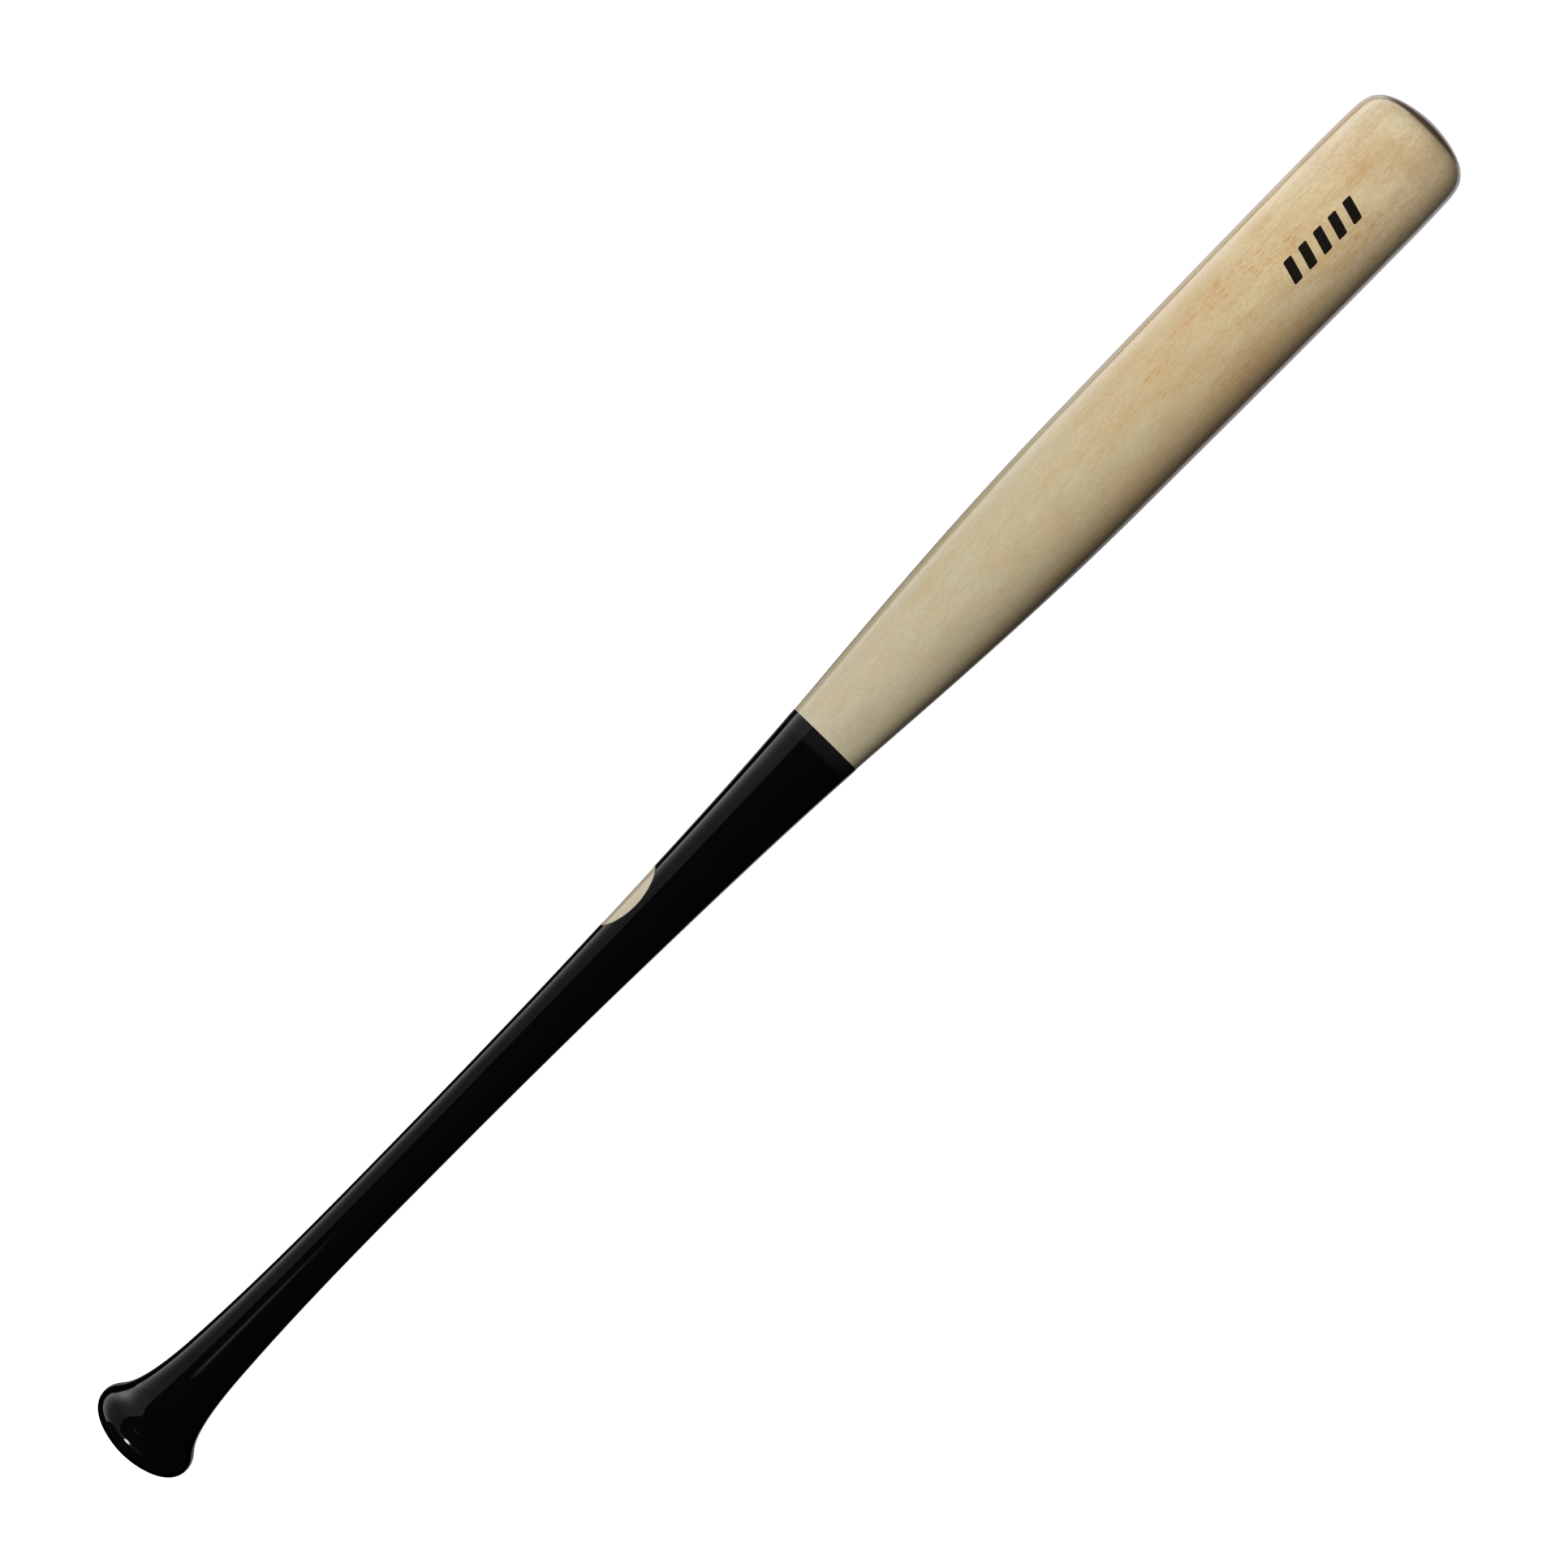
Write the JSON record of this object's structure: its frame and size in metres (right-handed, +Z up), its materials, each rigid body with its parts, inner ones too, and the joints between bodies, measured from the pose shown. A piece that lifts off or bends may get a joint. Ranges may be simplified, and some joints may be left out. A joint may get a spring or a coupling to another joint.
{
  "type": "baseball bat",
  "caption": "One-piece turned wooden baseball bat with a natural barrel, a slim tapered handle, a flared knob and a gloss black lacquered grip half.",
  "frame": {"origin": "centre of the small flat on the knob's end, on the bat's axis", "axes": "+X runs along the bat's axis from the knob to the barrel end; the bat lies on its side with +Z up, and the printed mark faces up"},
  "size_m": [0.8636, 0.0626, 0.0628],
  "materials": {
    "maple": "pale maple under a clear gloss coat",
    "black_lacquer": "gloss black lacquer",
    "mark_ink": "satin black printing ink"
  },
  "bodies": {
    "root": {"maple_billet": "maple", "handle_lacquer": "black_lacquer", "barrel_mark_1": "mark_ink", "barrel_mark_2": "mark_ink", "barrel_mark_3": "mark_ink", "barrel_mark_4": "mark_ink", "barrel_mark_5": "mark_ink"}
  },
  "joints": []
}
